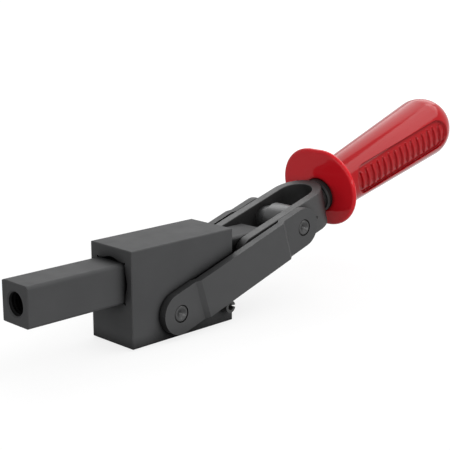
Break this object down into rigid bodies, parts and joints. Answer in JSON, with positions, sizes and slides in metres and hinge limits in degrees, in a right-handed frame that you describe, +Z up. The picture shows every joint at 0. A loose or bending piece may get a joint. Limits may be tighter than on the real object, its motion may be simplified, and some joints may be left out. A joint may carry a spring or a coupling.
{
  "type": "straight-line toggle clamp",
  "caption": "Heavy push-pull toggle clamp: square push bar in a solid block, joggled side links, forged fork handle and a moulded red grip with an oval hand guard.",
  "frame": {"origin": "centre of the block's flat underside, the face that is bolted or welded down", "axes": "+X the way the plunger pushes, +Y the clamp's left side, +Z up from the underside"},
  "size_m": [0.304, 0.0494, 0.0924],
  "materials": {
    "block_steel": "black oxide, satin",
    "bar_steel": "black oxide, drawn",
    "forged_steel": "black oxide, forged",
    "link_steel": "black oxide, stamped",
    "pin_steel": "black oxide, turned",
    "bush_bronze": "oiled sintered bronze",
    "red_plastic": "glossy moulded"
  },
  "bodies": {
    "body": {"body_block": "block_steel", "body_pin": "pin_steel", "stop_pin": "pin_steel"},
    "plunger": {"plunger": "bar_steel", "plunger_bush": "bush_bronze"},
    "handle": {"handle_fork": "forged_steel", "plunger_pin": "pin_steel", "stop_collar": "pin_steel", "grip": "red_plastic"},
    "links": {"link_left": "link_steel", "link_right": "link_steel", "handle_pin": "pin_steel", "link_pin_ends": "pin_steel"}
  },
  "joints": [
    {"name": "plunger_slide", "type": "slide", "parent": "body", "child": "plunger", "axis": [-1, 0, 0], "range_m": [0, 0.0456]},
    {"name": "handle_fold", "type": "hinge", "parent": "plunger", "child": "handle", "pos_m": [-0.05137, 0, 0.0303], "axis": [0, 1, 0], "range_deg": [0, 120]},
    {"name": "link_swing", "type": "hinge", "parent": "handle", "child": "links", "pos_m": [-0.07956, 0, 0.03913], "axis": [0, 1, 0], "range_deg": [-112.32, 0]}
  ],
  "couplings": [
    {"joint": "plunger_slide", "follows": "handle_fold", "m_per_rad": 0.021771},
    {"joint": "link_swing", "follows": "handle_fold", "ratio": -0.93599}
  ]
}
